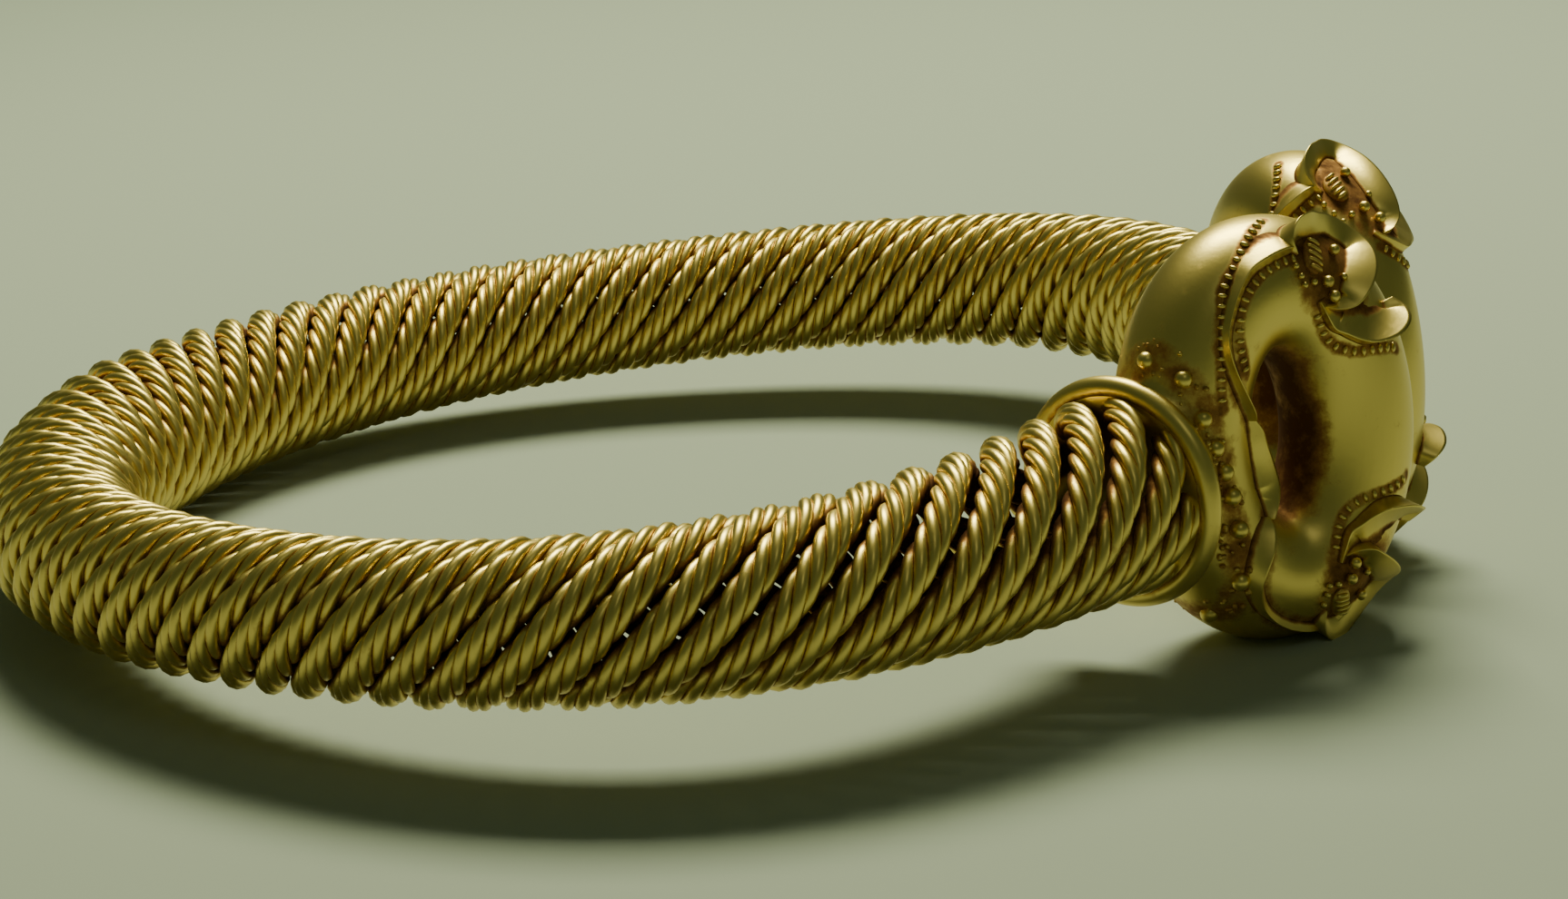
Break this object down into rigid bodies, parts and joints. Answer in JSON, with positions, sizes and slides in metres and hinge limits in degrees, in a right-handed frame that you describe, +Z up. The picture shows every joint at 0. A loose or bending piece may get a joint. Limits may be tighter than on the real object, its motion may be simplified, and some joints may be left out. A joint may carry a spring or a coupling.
{
  "type": "gold torc",
  "caption": "Open neck ring of twisted gold ropes with two cast ring terminals that carry raised ridges, crescents and pellets.",
  "frame": {"origin": "middle of the box that the torc fills, on the ground it lies on", "axes": "+Z up, +X towards the opening and the terminals, +Y towards the right terminal, the torc lying on the back of its hoop and on both terminals"},
  "size_m": [0.1974, 0.1876, 0.0534],
  "materials": {
    "rope_gold": "worn gold wire with reddish-brown dirt between the wires",
    "cast_gold": "smooth worn cast gold with reddish-brown dirt in the grooves"
  },
  "bodies": {
    "root": {"rope_1": "rope_gold", "rope_2": "rope_gold", "rope_3": "rope_gold", "rope_4": "rope_gold", "rope_5": "rope_gold", "rope_6": "rope_gold", "rope_7": "rope_gold", "rope_8": "rope_gold", "terminal_left": "cast_gold", "terminal_right": "cast_gold"}
  },
  "joints": []
}
